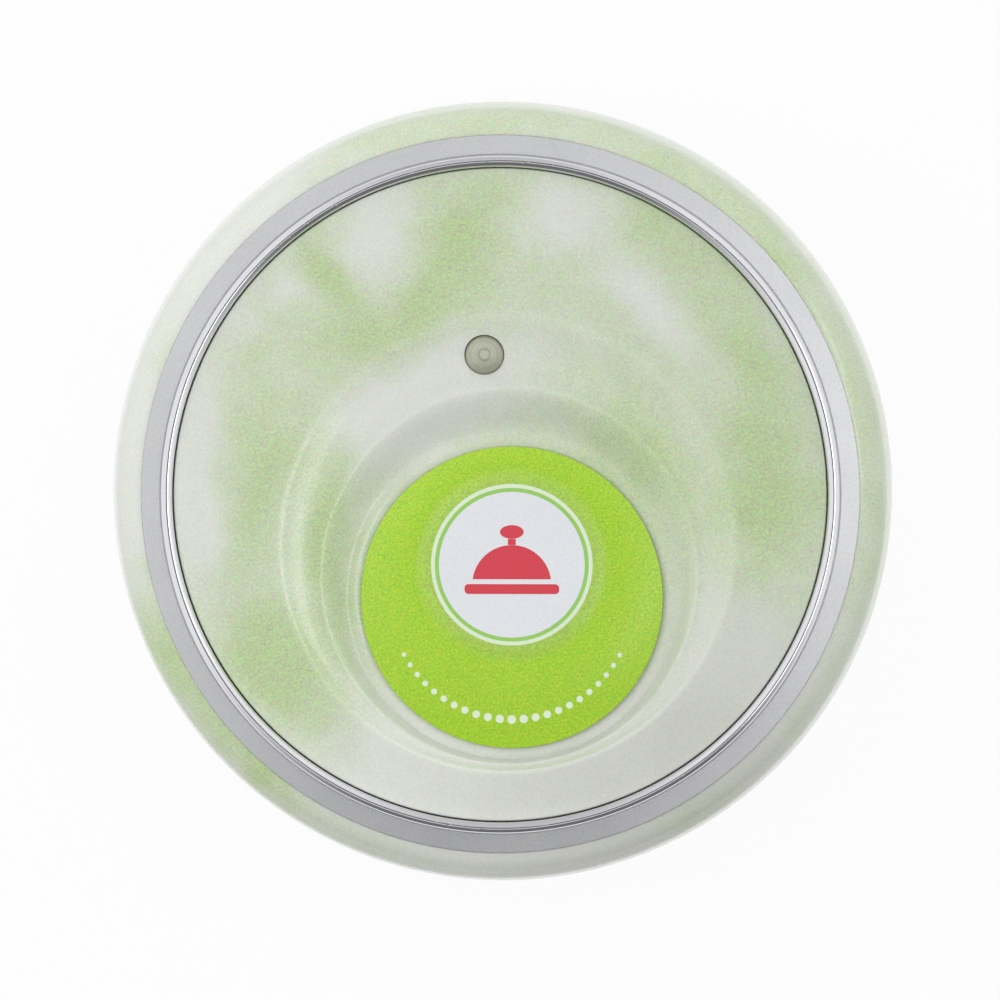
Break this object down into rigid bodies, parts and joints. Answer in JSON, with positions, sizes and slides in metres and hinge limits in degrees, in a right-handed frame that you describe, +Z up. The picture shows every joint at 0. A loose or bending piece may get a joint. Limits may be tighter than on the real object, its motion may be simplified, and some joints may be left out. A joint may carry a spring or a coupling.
{
  "type": "call button",
  "caption": "Round table-top call button: marbled case, plated trim ring, off-centre finger bowl with a sprung push key, lamp, and a coin-cell bayonet door below.",
  "frame": {"origin": "centre of the underside, on the surface that the object stands on", "axes": "+Z up, +Y from the push key towards the lamp, +X to the right of someone pressing the key"},
  "size_m": [0.06, 0.06, 0.02],
  "materials": {
    "marbled_plastic": "glossy marbled ivory and pale green",
    "plated_trim": "satin plated band with a polished bead",
    "label_film": "glossy printed film, yellow-green with a pale centre",
    "key_plastic": "smooth ivory",
    "lamp_resin": "clear cast resin",
    "ivory_plastic": "fine spark-eroded texture",
    "black_rubber": "dull",
    "black_plastic": "moulded",
    "tinned_metal": "tinned",
    "switch_plate": "stamped",
    "spring_metal": "plated spring strip",
    "board_laminate": "green solder mask",
    "part_ceramic": "fired body",
    "film_black": "coated",
    "brass_wire": "drawn wire",
    "cell_steel": "nickel-plated can",
    "screw_steel": "zinc-plated"
  },
  "bodies": {
    "case": {"outer_shell": "marbled_plastic", "trim_ring": "plated_trim", "top_panel": "marbled_plastic", "panel_gasket": "black_rubber", "indicator_led": "lamp_resin", "led_leads": "tinned_metal", "switch_dome": "spring_metal", "switch_frame": "switch_plate", "switch_housing": "black_plastic", "switch_legs": "tinned_metal", "circuit_board": "board_laminate", "encoder_chip": "black_plastic", "encoder_legs": "tinned_metal", "resonator_can": "switch_plate", "transistor": "black_plastic", "chip_resistors": "film_black", "chip_capacitors": "part_ceramic", "antenna_loop": "brass_wire", "coin_cell": "cell_steel", "cell_contact_top": "spring_metal", "cell_contact_side": "spring_metal", "base_cover": "ivory_plastic", "non_slip_ring": "black_rubber", "case_screws": "screw_steel", "board_screws": "screw_steel"},
    "key": {"key_cap": "key_plastic", "key_label": "label_film"},
    "switch_stem": {"switch_plunger": "black_plastic"},
    "door": {"battery_door": "ivory_plastic", "door_seal": "black_rubber"}
  },
  "joints": [
    {"name": "key_press", "type": "slide", "parent": "case", "child": "key", "axis": [0, 0, -1], "range_m": [0, 0.0005], "stiffness_N_per_m": 3000, "springref_m": -0.0003},
    {"name": "stem_press", "type": "slide", "parent": "case", "child": "switch_stem", "axis": [0, 0, -1], "range_m": [0, 0.0005], "deforming": ["switch_dome"]},
    {"name": "door_turn", "type": "hinge", "parent": "case", "child": "door", "pos_m": [0, 0, 0.002], "axis": [0, 0, -1], "range_deg": [0, 40]}
  ],
  "couplings": [
    {"joint": "stem_press", "follows": "key_press", "ratio": 1}
  ]
}
